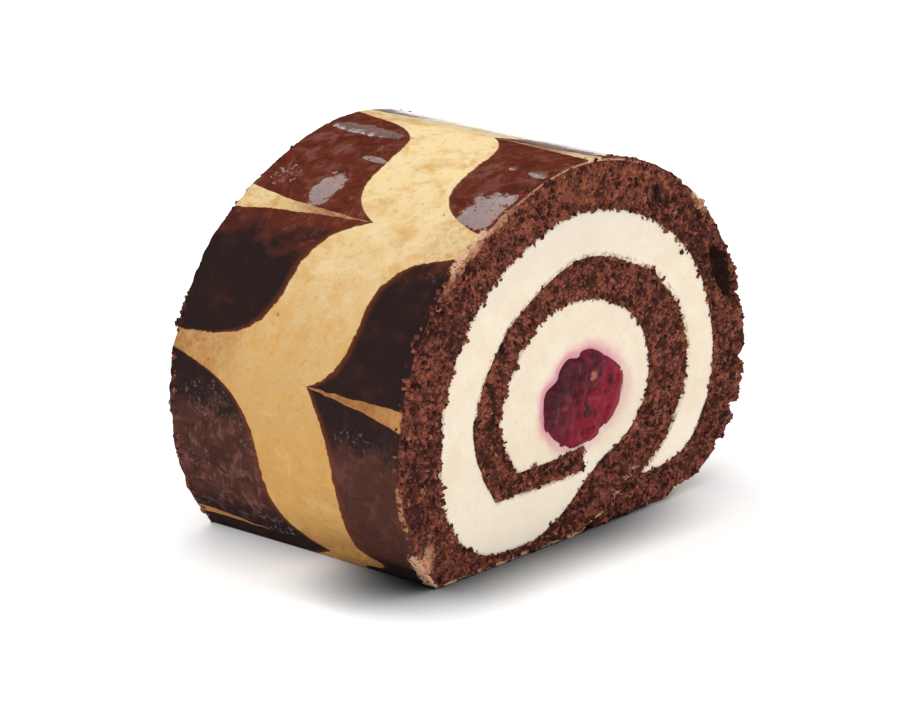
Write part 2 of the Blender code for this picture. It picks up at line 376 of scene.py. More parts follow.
crumb_cut = np.zeros(crumb_points.shape[:3])
crumb_bare = np.zeros(crumb_points.shape[:3])
for k, row in enumerate(SIDE_ROWS):
    crumb_cut[:, :, [k, -1 - k]] = 1 - row / SIDE_ROWS[-1]
    crumb_bare[:, :, k] = 1 - smooth_step(row, 0.0009, 0.0012)
    far_limit = 0.0012 - 0.001 * smooth_step(crumb_run, 0.03, 0.045)
    crumb_bare[:, :, -1 - k] = (row < far_limit)[:, None]
crumb_hollow = np.zeros(crumb_points.shape[:3])
inner_side = next_to_cream[:, None] * smooth_step(across, 0.86, 1.0)[None, :]
crumb_baked = np.broadcast_to(inner_side[:, :, None], crumb_points.shape[:3])
front_rows = slice(0, len(SIDE_ROWS))
crumb_worn = np.zeros(crumb_points.shape[:3])
crumb_smear = np.zeros(crumb_points.shape[:3])


def spot_on_cut(y, z, half_y, half_z, tilt):
    """1 inside a leaning oval on the front cut end and 0 outside it."""
    dy = crumb_points[:, :, front_rows, 1] - y
    dz = crumb_points[:, :, front_rows, 2] - z
    along = (dy * math.cos(tilt) + dz * math.sin(tilt)) / half_y
    up = (dz * math.cos(tilt) - dy * math.sin(tilt)) / half_z
    return 1 - smooth_step(np.hypot(along, up), 0.55, 1.25)


for *place, depth in CRUMB_HOLLOWS:
    dip = depth * spot_on_cut(*place)
    crumb_hollow[:, :, front_rows] = np.maximum(crumb_hollow[:, :, front_rows], dip)
for place in WORN_SPOTS:
    crumb_worn[:, :, front_rows] += spot_on_cut(*place)
for place in SEAM_SMEARS:
    crumb_smear[:, :, front_rows] += spot_on_cut(*place)
pale_rim = span(crumb_run * 1000, *PALE_RIM)
pale_rim = pale_rim[:, None] * smooth_step(across, 0.82, 0.97)[None, :] * (crumb_angles > 400)[:, None]
crumb_worn[:, :, front_rows] = np.maximum(crumb_worn[:, :, front_rows], 0.8 * pale_rim[:, :, None])

sponge_cake = block_mesh(
    "sponge_cake", crumb_points,
    {"cut": crumb_cut, "bare": crumb_bare, "hollow": crumb_hollow, "baked": crumb_baked,
     "worn": crumb_worn, "smear": crumb_smear})


class Value:
    """One output of a node, with arithmetic that adds Math nodes."""

    def __init__(self, nodes, socket):
        self.nodes = nodes
        self.socket = socket

    def math(self, operation, *others, first=None):
        values = [self if first is None else first, *others]
        node = self.nodes.tree.nodes.new("ShaderNodeMath")
        node.operation = operation
        for slot, value in zip(node.inputs, values):
            self.nodes.feed(slot, value)
        return Value(self.nodes, node.outputs[0])

    def __add__(self, other):
        return self.math("ADD", other)

    def __mul__(self, other):
        return self.math("MULTIPLY", other)

    def __sub__(self, other):
        return self.math("SUBTRACT", other)

    def __rsub__(self, other):
        return self.math("SUBTRACT", self, first=other)

    def __truediv__(self, other):
        return self.math("DIVIDE", other)

    def __rtruediv__(self, other):
        return self.math("DIVIDE", self, first=other)

    def __pow__(self, other):
        return self.math("POWER", other)

    __radd__ = __add__
    __rmul__ = __mul__

    def rise(self, low, high):
        """0 below low and 1 above high, with a smooth step between them."""
        return self.nodes.node(
            "ShaderNodeMapRange", {"interpolation_type": "SMOOTHSTEP"},
            {"Value": self, "From Min": low, "From Max": high}, "Result")


class Nodes:
    """A tree of nodes under construction, for a material or for a shape."""

    def __init__(self, tree):
        self.tree = tree

    def feed(self, slot, value):
        if isinstance(value, Value):
            self.tree.links.new(value.socket, slot)
        elif slot.type == "RGBA":
            slot.default_value = (*value, 1.0)
        else:
            slot.default_value = value

    def node(self, kind, settings=None, values=None, output=0):
        """Add a node: its settings first, then its sockets, by name or by number."""
        node = self.tree.nodes.new(kind)
        for key, setting in (settings or {}).items():
            setattr(node, key, setting)
        for key, value in (values or {}).items():
            self.feed(node.inputs[key], value)
        return Value(self, node.outputs[output])

    def mix(self, factor, low, high):
        """Colours mixed by a factor."""
        node = self.tree.nodes.new("ShaderNodeMix")
        node.data_type = "RGBA"
        self.feed(node.inputs[0], factor)
        self.feed(node.inputs[6], low)
        self.feed(node.inputs[7], high)
        return Value(self, node.outputs[2])

    def layers(self, colour, steps):
        """A colour with others laid over it in turn, each by its own factor."""
        for factor, over in steps:
            colour = self.mix(factor, colour, over)
        return colour

    def highest(self, values):
        """The largest of several values."""
        top = values[0]
        for value in values[1:]:
            top = top.math("MAXIMUM", value)
        return top

    def split(self, vector, axis):
        return self.node("ShaderNodeSeparateXYZ", {}, {0: vector}, axis)

    def scale(self, size):
        """The scale of a texture whose size is a number, a value or the name of a socket."""
        return 1 / (self.size(size) if isinstance(size, str) else size)

    def noise(self, size, detail=3.0, roughness=0.5, distortion=0.0, place=None):
        return self.node(
            "ShaderNodeTexNoise", {},
            {"Vector": place or self.place, "Scale": self.scale(size), "Detail": detail,
             "Roughness": roughness, "Distortion": distortion}, 0)

    def cells(self, size):
        return self.node(
            "ShaderNodeTexVoronoi", {"feature": "F1"},
            {"Vector": self.place, "Scale": self.scale(size)}, "Distance")


class Finish(Nodes):
    """A Principled material under construction."""

    def __init__(self, name):
        self.material = bpy.data.materials.new(name)
        self.material.use_nodes = True
        super().__init__(self.material.node_tree)
        self.shader = self.tree.nodes["Principled BSDF"]
        self.place = self.node("ShaderNodeTexCoord", {}, {}, "Object")

    def set(self, **values):
        for key, value in values.items():
            self.feed(self.shader.inputs[key.replace("_", " ")], value)

    def attribute(self, key):
        return self.node("ShaderNodeAttribute", {"attribute_name": key}, {}, "Fac")

    def relief(self, height, depth, under=None):
        values = {"Height": height, "Distance": depth, "Strength": 1.0}
        if under is not None:
            values["Normal"] = under
        return self.node("ShaderNodeBump", {}, values, "Normal")


class Shaping(Nodes):
    """A Geometry Nodes tree with named sizes, run once on a piece to give a plain mesh."""

    def __init__(self, name, sizes):
        tree = bpy.data.node_groups.new(name, "GeometryNodeTree")
        tree.interface.new_socket("Geometry", in_out="INPUT", socket_type="NodeSocketGeometry")
        self.sockets = {}
        for key, value in sizes.items():
            kind = "NodeSocketInt" if isinstance(value, int) else "NodeSocketFloat"
            self.sockets[key] = tree.interface.new_socket(key, in_out="INPUT", socket_type=kind)
        self.sizes = dict(sizes)
        tree.interface.new_socket("Geometry", in_out="OUTPUT", socket_type="NodeSocketGeometry")
        super().__init__(tree)
        self.start = tree.nodes.new("NodeGroupInput")
        self.finish = tree.nodes.new("NodeGroupOutput")
        self.geometry = Value(self, self.start.outputs["Geometry"])
        self.place = self.node("GeometryNodeInputPosition")

    def size(self, key):
        return Value(self, self.start.outputs[key])

    def attribute(self, key):
        return self.node(
            "GeometryNodeInputNamedAttribute", {"data_type": "FLOAT"}, {"Name": key}, "Attribute")

    def join(self, x, y, z):
        return self.node("ShaderNodeCombineXYZ", {}, {0: x, 1: y, 2: z})

    def move(self, geometry, offset):
        return self.node("GeometryNodeSetPosition", {}, {"Geometry": geometry, "Offset": offset})

    def sink_ends(self, depth):
        """Push both cut ends in by a depth, towards the middle of the roll."""
        inward = self.split(self.place, 0).math("SIGN") * -1.0
        return self.move(self.geometry, self.join(inward * depth * self.attribute("cut"), 0.0, 0.0))

    def keep(self, geometry, key, value):
        return self.node(
            "GeometryNodeStoreNamedAttribute", {"data_type": "FLOAT", "domain": "POINT"},
            {"Geometry": geometry, "Name": key, "Value": value})

    def close(self, geometry, material):
        solid = self.node("GeometryNodeRealizeInstances", {}, {0: geometry})
        painted = self.node(
            "GeometryNodeSetMaterial", {}, {"Geometry": solid, "Material": material})
        self.feed(self.finish.inputs[0], painted)

    def shape(self, piece, name=None):
        """Run the tree on a piece and keep the result as that piece's mesh, or as a new piece."""
        change = piece.modifiers.new(self.tree.name, "NODES")
        change.node_group = self.tree
        for key, value in self.sizes.items():
            change[self.sockets[key].identifier] = value
        bpy.context.view_layer.update()
        done = piece.evaluated_get(bpy.context.evaluated_depsgraph_get())
        mesh = bpy.data.meshes.new_from_object(done)
        piece.modifiers.clear()
        if name is None:
            piece.data = mesh
            return piece
        mesh.name = name
        made = bpy.data.objects.new(name, mesh)
        bpy.context.scene.collection.objects.link(made)
        return made


crumb = Finish("torn chocolate crumb")
grain_fine = crumb.noise(0.0007, 4.0, 0.7)
grain_wide = crumb.noise(0.0021, 3.0, 0.62)
grain_far = crumb.noise(0.009, 2.0, 0.5)
# Painted highlight: pale specks stand in for glints on moist crumb, and are also a little less rough.
glint_specks = crumb.noise(0.0008, 2.0, 0.5).rise(0.58, 0.68)
# Painted shade: the crumb is darkened in its pits, crevices and sunk hollows, by how deep they sink.
pit_shade = crumb.attribute("shade_in_pits")
baked = crumb.attribute("baked") * grain_wide.rise(0.35, 0.6)
# Painted light: the crumb is lighter near the top of the cut end.
painted_top_light = crumb.split(crumb.place, 2).rise(0.05, 0.061) * grain_wide.rise(0.36, 0.56)
worn_pale = crumb.attribute("worn") * grain_wide.rise(0.34, 0.52)
smeared = crumb.attribute("smear") * grain_fine.rise(0.42, 0.55)
crumb_tone = crumb.layers((0.08, 0.025, 0.0185), [
    (grain_wide.rise(0.38, 0.62), (0.318, 0.09, 0.056)),
    (grain_fine.rise(0.52, 0.38) * 0.8, (0.034, 0.011, 0.009)),
    (glint_specks * 0.4, (0.42, 0.17, 0.105)),
    (grain_far.rise(0.51, 0.6) * 0.66, (0.042, 0.015, 0.012)),
    (baked * 0.6, (0.3, 0.11, 0.035)),
    (pit_shade.rise(0.3, 0.85) * 0.92, (0.015, 0.008, 0.007)),
    (painted_top_light * 0.4, (0.46, 0.13, 0.068)),
    (worn_pale * 0.85, (0.68, 0.37, 0.22)),
    (smeared * 0.85, (0.7, 0.48, 0.34)),
])
crumb.set(
    Base_Color=crumb_tone, Roughness=0.75 - 0.15 * glint_specks, Specular_IOR_Level=0.06,
    Normal=crumb.relief(grain_fine + grain_wide * 1.4, 0.0004))

tearing = Shaping("torn crumb", {
    "Crumb Depth": 0.00042, "Crumb Size": 0.0019, "Pit Depth": 0.00085,
    "Pit Size": 0.0027, "Grain Depth": 0.00046, "Grain Size": 0.00095})
lumps = tearing.noise("Crumb Size", 3.0, 0.62).rise(0.3, 0.7)
crevices = tearing.cells("Grain Size")
holes = tearing.cells("Pit Size").rise(0.42, 0.1)
few_holes = tearing.noise(tearing.size("Pit Size") * 2.2, 1.0).rise(0.46, 0.6)
pits = holes * few_holes
torn_depth = (
    lumps * tearing.size("Crumb Depth") + crevices * tearing.size("Grain Depth")
    + pits * tearing.size("Pit Depth") + tearing.attribute("hollow"))
# The pit mark, kept for the crumb's colour, paints shade into the pits, crevices and hollows.
pit_shade_mark = pits * 0.8 + crevices.rise(0.35, 0.8) * 0.6 + lumps * 0.2 + tearing.attribute("hollow") * 700.0
tearing.close(tearing.keep(tearing.sink_ends(torn_depth), "shade_in_pits", pit_shade_mark), crumb.material)
tearing.shape(sponge_cake)
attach(sponge_cake, "root")
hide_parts("sponge")


# Loose grains of crumb
# The saw lifts small grains of sponge that stay stuck to the torn faces and rims. Each is a
# little faceted lump of the same sponge, some dark and some pale, sitting half in the crumb.

GRAIN_DENSITY = 2.45e6
GRAIN_SMALL = 0.00012
GRAIN_LARGE = 0.00047

grain = Finish("crumb grains")
grain_tone = grain.attribute("tone")
grain_mottle = grain.noise(0.00035, 3.0, 0.6)
grain_patch = grain.noise(0.0021, 3.0, 0.62)
grain_colour = grain.layers((0.044, 0.015, 0.012), [
    (grain_tone.rise(0.1, 0.7), (0.285, 0.08, 0.048)),
    (grain_tone.rise(0.86, 0.99) * 0.55, (0.44, 0.18, 0.115)),
    (grain_mottle.rise(0.55, 0.38) * 0.6, (0.04, 0.013, 0.01)),
    (grain_patch.rise(0.5, 0.38) * 0.75, (0.045, 0.014, 0.011)),
    (grain.attribute("worn") * 0.85, (0.62, 0.3, 0.165)),
])
grain.set(
    Base_Color=grain_colour, Roughness=0.7 - 0.2 * grain_tone, Specular_IOR_Level=0.06,
    Normal=grain.relief(grain_mottle, 0.00015))

strewing = Shaping("crumb grains", {
    "Density": GRAIN_DENSITY, "Smallest": GRAIN_SMALL, "Largest": GRAIN_LARGE, "Seed": 4,
    "End": 1.0})
scatter = strewing.tree.nodes.new("GeometryNodeDistributePointsOnFaces")
strewing.feed(scatter.inputs["Mesh"], strewing.geometry)
at_this_end = (strewing.split(strewing.place, 0) * strewing.size("End")).math("GREATER_THAN", 0.0)
bare_crumb = strewing.attribute("bare").math("GREATER_THAN", 0.6)
bare_crumb = bare_crumb * strewing.attribute("hollow").math("LESS_THAN", 0.00015)
strewing.feed(scatter.inputs["Selection"], at_this_end * bare_crumb)
strewing.feed(scatter.inputs["Density"], strewing.size("Density"))
strewing.feed(scatter.inputs["Seed"], strewing.size("Seed"))
grain_spots = Value(strewing, scatter.outputs["Points"])


def chance(low, high, step):
    """A random number for each point, the same in every run."""
    return strewing.node(
        "FunctionNodeRandomValue", {"data_type": "FLOAT"},
        {2: low, 3: high, "Seed": strewing.size("Seed") + step}, 1)


def chance_vector(low, high, step):
    return strewing.node(
        "FunctionNodeRandomValue", {"data_type": "FLOAT_VECTOR"},
        {0: low, 1: high, "Seed": strewing.size("Seed") + step}, 0)


grain_spots = strewing.keep(grain_spots, "tone", chance(0.0, 1.0, 1))
lump = strewing.node("GeometryNodeMeshIcoSphere", {}, {"Radius": 1.0, "Subdivisions": 1})
dents = strewing.node(
    "ShaderNodeTexNoise", {}, {"Vector": strewing.place, "Scale": 1.3, "Detail": 2.0}, 1)
dents = strewing.node("ShaderNodeVectorMath", {"operation": "SUBTRACT"}, {0: dents, 1: (0.5, 0.5, 0.5)})
dents = strewing.node("ShaderNodeVectorMath", {"operation": "SCALE"}, {0: dents, "Scale": 2.4})
lump = strewing.move(lump, dents)
girth = chance(0.0, 1.0, 2) ** 2.0 * (strewing.size("Largest") - strewing.size("Smallest"))
girth = girth + strewing.size("Smallest")
lump_size = strewing.node(
    "ShaderNodeVectorMath", {"operation": "SCALE"},
    {0: chance_vector((0.5, 0.5, 0.5), (1.5, 1.5, 1.5), 3), "Scale": girth})
tumble = strewing.node(
    "FunctionNodeEulerToRotation", {}, {0: chance_vector((0, 0, 0), (6.28, 6.28, 6.28), 4)})
strewn = strewing.node("GeometryNodeInstanceOnPoints", {}, {
    "Points": grain_spots, "Instance": lump, "Rotation": tumble, "Scale": lump_size})
strewing.close(strewn, grain.material)
near_grains = strewing.shape(sponge_cake, "near_crumb_grains")
strewing.sizes["End"] = -1.0
far_grains = strewing.shape(sponge_cake, "far_crumb_grains")


def hold_inside(piece):
    """Hold a finished piece's points inside the solid model's box."""
    spots = np.empty(len(piece.data.vertices) * 3, np.float32)
    piece.data.vertices.foreach_get("co", spots)
    spots = np.clip(spots.reshape(-1, 3), np.array(cad_box[0]), np.array(cad_box[1]))
    piece.data.vertices.foreach_set("co", spots.ravel())
    piece.data.update()


hold_inside(sponge_cake)
for crumb_grains in (near_grains, far_grains):
    hold_inside(crumb_grains)
    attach(crumb_grains, "root")


# Combed and glazed skin
# The outside of the sheet is a thin baked skin. Dark bands were piped across pale batter, a
# comb was drawn through them to and fro before baking, and the finished roll was brushed
# with clear glaze, which lies in wet pools near the top and has soaked in lower down.

SKIN_THICKNESS = 0.00065
SKIN_STEP = 0.00055
SKIN_COLUMNS = 90
SKIN_LAP_START = 345
SKIN_SETBACK = 0.0004
COMB_LINES = (0.0001, 0.0322, 0.0638)
COMB_LEAN = 0.085
BAND_PERIOD = 0.0496
BAND_FRONT = (0.0152, 0.0132, 0.0147)
BAND_BACK = (0.0315, 0.0307)
DRAG_TAIL = 0.0213
DRAG_THREAD = 0.0198


skin_angles = even_angles(skin_side, SKIN_LAP_START, SHEET_END, SKIN_STEP)
skin_length = skin_run(skin_angles)
skin_mm = skin_length * 1000
torn_back = smooth_step(skin_mm, RAGGED_FROM, RAGGED_FROM + RAGGED_GROWTH)
edge_wear = 0.5 + 0.5 * ripple(skin_length, 0.001, 31) + 0.4 * ripple(skin_length, 0.004, 32)
edge_wear = np.clip(edge_wear, 0, 2)
glazed_edge = span(skin_mm, *GLAZED_RIM)
front_back = SKIN_SETBACK + 0.0006 * edge_wear * (1 - glazed_edge) + 0.0007 * torn_back
front_back = front_back + 0.0016 * rim_chips(skin_mm)
front_edge = ROLL_LENGTH / 2 - front_back
far_wear = 0.5 + 0.5 * ripple(skin_length, 0.0011, 33) + 0.5 * ripple(skin_length, 0.003, 34)
back_edge = -ROLL_LENGTH / 2 + SKIN_SETBACK + 0.0006 * np.clip(far_wear, 0, 2)
outer_line = skin_side(skin_angles)
skin_facing = sideways(outer_line)
skin_shape = (len(skin_angles), 2, SKIN_COLUMNS)
outer_points = np.zeros((*skin_shape, 3))
forwards = (front_edge - back_edge)[:, None] * np.linspace(0, 1, SKIN_COLUMNS)
outer_points[:, :, :, 0] = (back_edge[:, None] + forwards)[:, None, :]
for j, under in enumerate((SKIN_THICKNESS, 0.0)):
    outer_points[:, j, :, 1:] = (outer_line - skin_facing * under)[:, None, :]
is_outer = np.zeros(skin_shape)
is_outer[:, 1, :] = 1.0
is_edge = np.zeros(skin_shape)
is_edge[:, 0, 0] = 1.0
is_edge[:, 0, -1] = 1.0
skin_attributes = {
    "outer": is_outer,
    "edge": is_edge,
    "calm": 0.25 + 0.75 * smooth_step(ROLL_LENGTH / 2 - np.abs(outer_points[:, :, :, 0]), 0.001, 0.004),
    "round": np.broadcast_to(skin_length[:, None, None], skin_shape),
    "back": ROLL_LENGTH / 2 - outer_points[:, :, :, 0],
    "face_y": np.broadcast_to(skin_facing[:, 0][:, None, None], skin_shape),
    "face_z": np.broadcast_to(skin_facing[:, 1][:, None, None], skin_shape),
}
combed_skin = block_mesh("combed_skin", outer_points, skin_attributes)

skin = Finish("combed and glazed skin")
run_raw = skin.attribute("round")
back_raw = skin.attribute("back")
drift = skin.noise(0.011, 2.0, 0.5) - 0.5
waver = skin.noise(0.0024, 3.0, 0.6) - 0.5
fray = skin.noise(0.0006, 2.0, 0.6) - 0.5
run = run_raw + drift * 0.0008 + waver * 0.0007
back = back_raw + drift * 0.001 + waver * 0.001 + fray * 0.00025
low_line, side_line, high_line = COMB_LINES
leaning = run - COMB_LEAN * back_raw * run_raw.rise(0.056, 0.044)
phase = ((leaning - low_line) / (side_line - low_line)).math(
    "MAXIMUM", (leaning - side_line) / (high_line - side_line) + 1.0)
from_front_drag = ((phase + 41.0).math("MODULO", 2.0) - 1.0).math("ABSOLUTE")
from_back_drag = 1.0 - from_front_drag


def drag(t, tail_power, nose, nose_power):
    """How far the comb pulled the edge of a band, at t from one drag line to the next."""
    return t ** tail_power * DRAG_TAIL + t ** 26.0 * DRAG_THREAD - (1.0 - t) ** nose_power * nose


pulled_back = drag(from_front_drag, 7.0, 0.0089, 7.8)
pulled_front = drag(from_back_drag, 7.0 + 43.0 * run_raw.rise(0.016, 0.005), 0.0072, 7.0)
pulled_front = pulled_front * run_raw.rise(0.0006, 0.0042)
low_front, side_front, high_front = BAND_FRONT
low_back, high_back = BAND_BACK
band_front = (
    low_front + (side_front - low_front) * run_raw.rise(side_line - 0.002, side_line + 0.004)
    + (high_front - side_front) * run_raw.rise(high_line - 0.001, high_line + 0.003))
band_back = low_back + (high_back - low_back) * run_raw.rise(side_line - 0.004, side_line + 0.004)
pale_parts = []
solid_parts = []
near_parts = []
tip_parts = []
for repeat in (-1, 0, 1):
    behind = back - (band_front + repeat * BAND_PERIOD)
    ahead = (band_back + repeat * BAND_PERIOD) - back
    band = (behind + pulled_front).rise(-0.00018, 0.00018) * (ahead + pulled_back).rise(-0.00018, 0.00018)
    pale_parts.append(band)
    near_parts.append(
        (behind + pulled_front + 0.0009).rise(-0.0007, 0.0007)
        * (ahead + pulled_back + 0.0009).rise(-0.0007, 0.0007))
    solid_parts.append((behind + 0.0045).rise(-0.003, 0.002) * (ahead + 0.006).rise(-0.005, 0.003))
    tip_parts.append((behind * -1.0).math("MAXIMUM", ahead * -1.0).rise(0.019, 0.031) * band)
pale = skin.highest(pale_parts)
thread_tip = skin.highest(tip_parts)
rim_glow = skin.highest(near_parts) * (1.0 - pale)

cloud = skin.noise(0.004, 3.0, 0.6)
gold = skin.noise(0.0065, 3.0, 0.6, 0.4)
mottle = skin.noise(0.0009, 3.0, 0.7)
# Pale patches high on the tan are painted sheen; the same noise also gives orange blotches.
blotch_and_sheen = skin.noise(0.0042, 3.0, 0.6, 0.2)
pin_holes = skin.cells(0.0052).rise(0.07, 0.03) * cloud.rise(0.47, 0.52)
near_front = back_raw.rise(0.026, 0.018)
thread = (1.0 - skin.highest(solid_parts)) * (
    0.08 + 0.2 * mottle.rise(0.4, 0.6)
    + run_raw.rise(0.048, 0.04) * (0.16 + 0.3 * gold.rise(0.42, 0.6) + 0.36 * near_front))
far_tan = back_raw.rise(0.037, 0.05) * run_raw.rise(0.056, 0.044)
# The tan is paler towards the top; along the bottom, next to the table, it is darkened with painted shade.
tan = skin.layers((0.56, 0.32, 0.108), [
    (run_raw.rise(0.016, 0.088), (0.96, 0.74, 0.4)),
    ((run_raw + (cloud - 0.5) * 0.006).rise(0.011, 0.003) * 0.6, (0.3, 0.14, 0.052)),
    (gold.rise(0.5, 0.72) * 0.65, (0.66, 0.34, 0.085)),
    (gold.rise(0.46, 0.3) * 0.18, (0.86, 0.66, 0.36)),
    (mottle.rise(0.54, 0.7) * 0.4, (0.5, 0.235, 0.055)),
    (blotch_and_sheen.rise(0.5, 0.68) * run_raw.rise(0.034, 0.062) * 0.45, (0.92, 0.75, 0.47)),
    (blotch_and_sheen.rise(0.47, 0.33) * 0.45, (0.7, 0.38, 0.115)),
    (pin_holes * 0.75, (0.27, 0.11, 0.032)),
    (thread, (0.38, 0.16, 0.054)),
    (thread_tip * (0.66 + 0.22 * mottle.rise(0.36, 0.6)), (0.27, 0.088, 0.036)),
    (far_tan * (0.18 + 0.45 * mottle.rise(0.38, 0.6)), (0.33, 0.15, 0.058)),
])

# The dark paste is near black. High up it is painted wine-brown, a painted sheen of the sky, and low down
# dull brown, a painted reflection of the white table.
near_black = (0.026, 0.015, 0.014)
wine_brown_sky_sheen = (0.138, 0.029, 0.016)
dull_brown_table_reflection = (0.078, 0.0305, 0.024)
# Painted shade: along the bottom of the skin, next to the table, the dark bands turn near-black.
shaded_far_bottom = run_raw.rise(0.0105, 0.0065) * (back_raw + (cloud - 0.5) * 0.01).rise(0.016, 0.021)
shaded_under_edge = shaded_far_bottom.math("MAXIMUM", run_raw.rise(0.0052, 0.0028))
wrinkle_run = skin.noise(0.0034, 3.0, 0.6, 1.0)
fold_place = skin.node("ShaderNodeCombineXYZ", {}, {0: back_raw * 2.1, 1: run_raw * 0.85 + back_raw * 0.5})
veins = skin.noise(0.0058, 2.0, 0.5, 0.7, fold_place)
# Pale lines along the wrinkles are painted sheen.
wrinkle_sheen_lines = (veins - 0.5).math("ABSOLUTE").rise(0.05, 0.002) * wrinkle_run.rise(0.4, 0.58)
wet_zone = run_raw.rise(0.056, 0.064)
baggy = run_raw.rise(0.031, 0.022) * run_raw.rise(0.003, 0.009) * (0.35 + 0.65 * back_raw.rise(0.026, 0.032))
dark = skin.layers(dull_brown_table_reflection, [
    ((run_raw + (cloud - 0.5) * 0.01).rise(0.0235, 0.0275), near_black),
    ((run_raw + (cloud - 0.5) * 0.016).rise(0.054, 0.064), wine_brown_sky_sheen),
    (shaded_under_edge * 0.9, (0.018, 0.013, 0.013)),
    (cloud.rise(0.5, 0.75) * 0.3, (0.095, 0.03, 0.02)),
    (wrinkle_run.rise(0.5, 0.38) * baggy * 0.55, (0.034, 0.018, 0.016)),
    (wrinkle_run.rise(0.53, 0.66) * baggy * 0.6, (0.15, 0.06, 0.045)),
    (wrinkle_sheen_lines * baggy * 0.52, (0.2, 0.092, 0.074)),
    (wrinkle_run.rise(0.52, 0.66) * wet_zone * 0.55, (0.185, 0.055, 0.03)),
    (wrinkle_run.rise(0.48, 0.36) * wet_zone * 0.55, (0.06, 0.018, 0.013)),
    (wrinkle_sheen_lines * wet_zone * 0.25, (0.3, 0.15, 0.12)),
])
cut_edge = skin.attribute("edge")
bright_edge = run_raw.rise(0.058, 0.07) * run_raw.rise(0.115, 0.105)
worn_rim = skin.highest([
    back_raw.rise(0.0044, 0.0016) * run_raw.rise(0.0088, 0.0062),
    back_raw.rise(0.0024, 0.0006) * run_raw.rise(0.012, 0.0145) * run_raw.rise(0.0225, 0.02) * 0.8,
    back_raw.rise(0.0024, 0.001) * run_raw.rise(0.0565, 0.059) * run_raw.rise(0.069, 0.0665) * 0.8,
])
worn_colour = skin.layers((0.4, 0.175, 0.085), [
    (run_raw.rise(0.01, 0.008), (0.74, 0.435, 0.27)),
    (run_raw.rise(0.05, 0.056), (0.66, 0.4, 0.27)),
])
crumbled = (mottle + fray * 0.5 + worn_rim * 0.2).rise(0.56, 0.62)
seen = skin.layers(dark, [
    (pale, tan),
    (rim_glow * 0.65, (0.15, 0.04, 0.017)),
    (worn_rim.rise(0.1, 0.5) * crumbled, worn_colour),
    (cut_edge.rise(0.2, 0.9) * 0.85, skin.mix(bright_edge, (0.115, 0.036, 0.024), (0.56, 0.3, 0.2))),
])

# Wet pools of glaze, in millimetres: back from the front cut, round the skin, half sizes,
# and how far the pool is broken into sparks.
GLAZE_POOLS = (
    (36.3, 69.0, 2.6, 4.6, 0.0),
    (42.0, 86.9, 7.8, 1.9, 0.0),
    (33.4, 78.4, 2.6, 0.8, 0.3),
    (46.4, 69.8, 2.8, 2.8, 1.0),
    (36.0, 60.5, 2.8, 2.2, 1.0),
    (31.4, 58.2, 1.8, 1.6, 1.0),
    (3.4, 71.8, 5.6, 4.7, 0.0),
    (1.8, 84.2, 2.6, 1.2, 0.4),
    (8.4, 84.5, 0.8, 0.8, 0.4),
    (3.6, 56.6, 1.5, 2.2, 1.0),
    (42.5, 27.4, 6.0, 3.6, 1.0),
    (34.5, 24.5, 2.2, 3.4, 1.0),
    (46.0, 17.0, 3.0, 2.5, 1.0),
    (9.5, 27.4, 6.0, 1.8, 1.0),
    (33.0, 5.0, 5.0, 2.2, 1.0),
)
pool_parts = []
sparks = skin.noise(0.0007, 2.0, 0.6).rise(0.58, 0.64)
shore = (cloud - 0.5) * 1.3 + (mottle - 0.5) * 0.5 + fray * 0.2
for pool_back, pool_run, half_back, half_run, broken in GLAZE_POOLS:
    away_back = (back_raw - pool_back / 1000) / (half_back / 1000)
    away_run = (run_raw - pool_run / 1000) / (half_run / 1000)
    reach = (away_back * away_back + away_run * away_run) ** 0.5
    pool_parts.append((1.0 - reach + shore).rise(-0.06, 0.1) * (1.0 - broken + sparks * broken))
pools = skin.highest(pool_parts)
bubbles = skin.noise(0.0007, 1.0).rise(0.36, 0.32)
high_up = run_raw.rise(0.093, 0.099)
film = wrinkle_run.rise(0.5, 0.62) * 0.06 * (1.0 - pale)
wet = skin.highest([pools * (1.0 - bubbles * 0.8) * (1.0 - pale * 0.85), high_up, film])
dimples = skin.cells(0.0011)
skin_relief = skin.relief(dimples.rise(0.0, 0.5) * 0.5 + waver * 1.4 + fray * 0.8, 0.00016)
soaked = run_raw.rise(0.033, 0.026)
skin.set(
    Base_Color=seen,
    Roughness=0.34 + 0.16 * mottle + 0.14 * soaked + 0.1 * (1.0 - pale) * soaked,
    Coat_Weight=wet * (1.0 - cut_edge.rise(0.0, 0.5)), Coat_Roughness=0.07, Coat_IOR=1.5,
    Specular_IOR_Level=0.0, Normal=skin_relief)

baking = Shaping("baked skin", {
    "Wave Depth": 0.00016, "Wave Size": 0.01, "Wrinkle Depth": 0.0003, "Wrinkle Size": 0.0021,
    "Dimple Depth": 0.00006, "Dimple Size": 0.0011})
height = baking.split(baking.place, 2)
off_table = height.rise(0.0002, 0.0024)
waves = baking.noise("Wave Size", 1.0, 0.4)
wrinkles = baking.noise("Wrinkle Size", 3.0, 0.55, 0.9)
pocks = baking.cells("Dimple Size").rise(0.45, 0.05)
low_skin = baking.attribute("round").rise(0.036, 0.024)
sunk = (
    waves * baking.size("Wave Depth") + pocks * baking.size("Dimple Depth")
    + wrinkles * baking.size("Wrinkle Depth") * (low_skin * 0.8 + 0.2))
sunk = sunk * off_table * baking.attribute("outer") * baking.attribute("calm") * -1.0
skin_shift = baking.join(
    0.0, sunk * baking.attribute("face_y"), sunk * baking.attribute("face_z"))
baking.close(baking.move(baking.geometry, skin_shift), skin.material)
baking.shape(combed_skin)
hold_inside(combed_skin)
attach(combed_skin, "root")


# Whipped cream
# Soft whipped cream, spread over the sheet before rolling, fills the spiral from the cherry
# out to the lap. The saw leaves it matt, faintly fibrous and a little sunk between the turns
# of sponge, and cherry juice has stained it pink round the fruit.

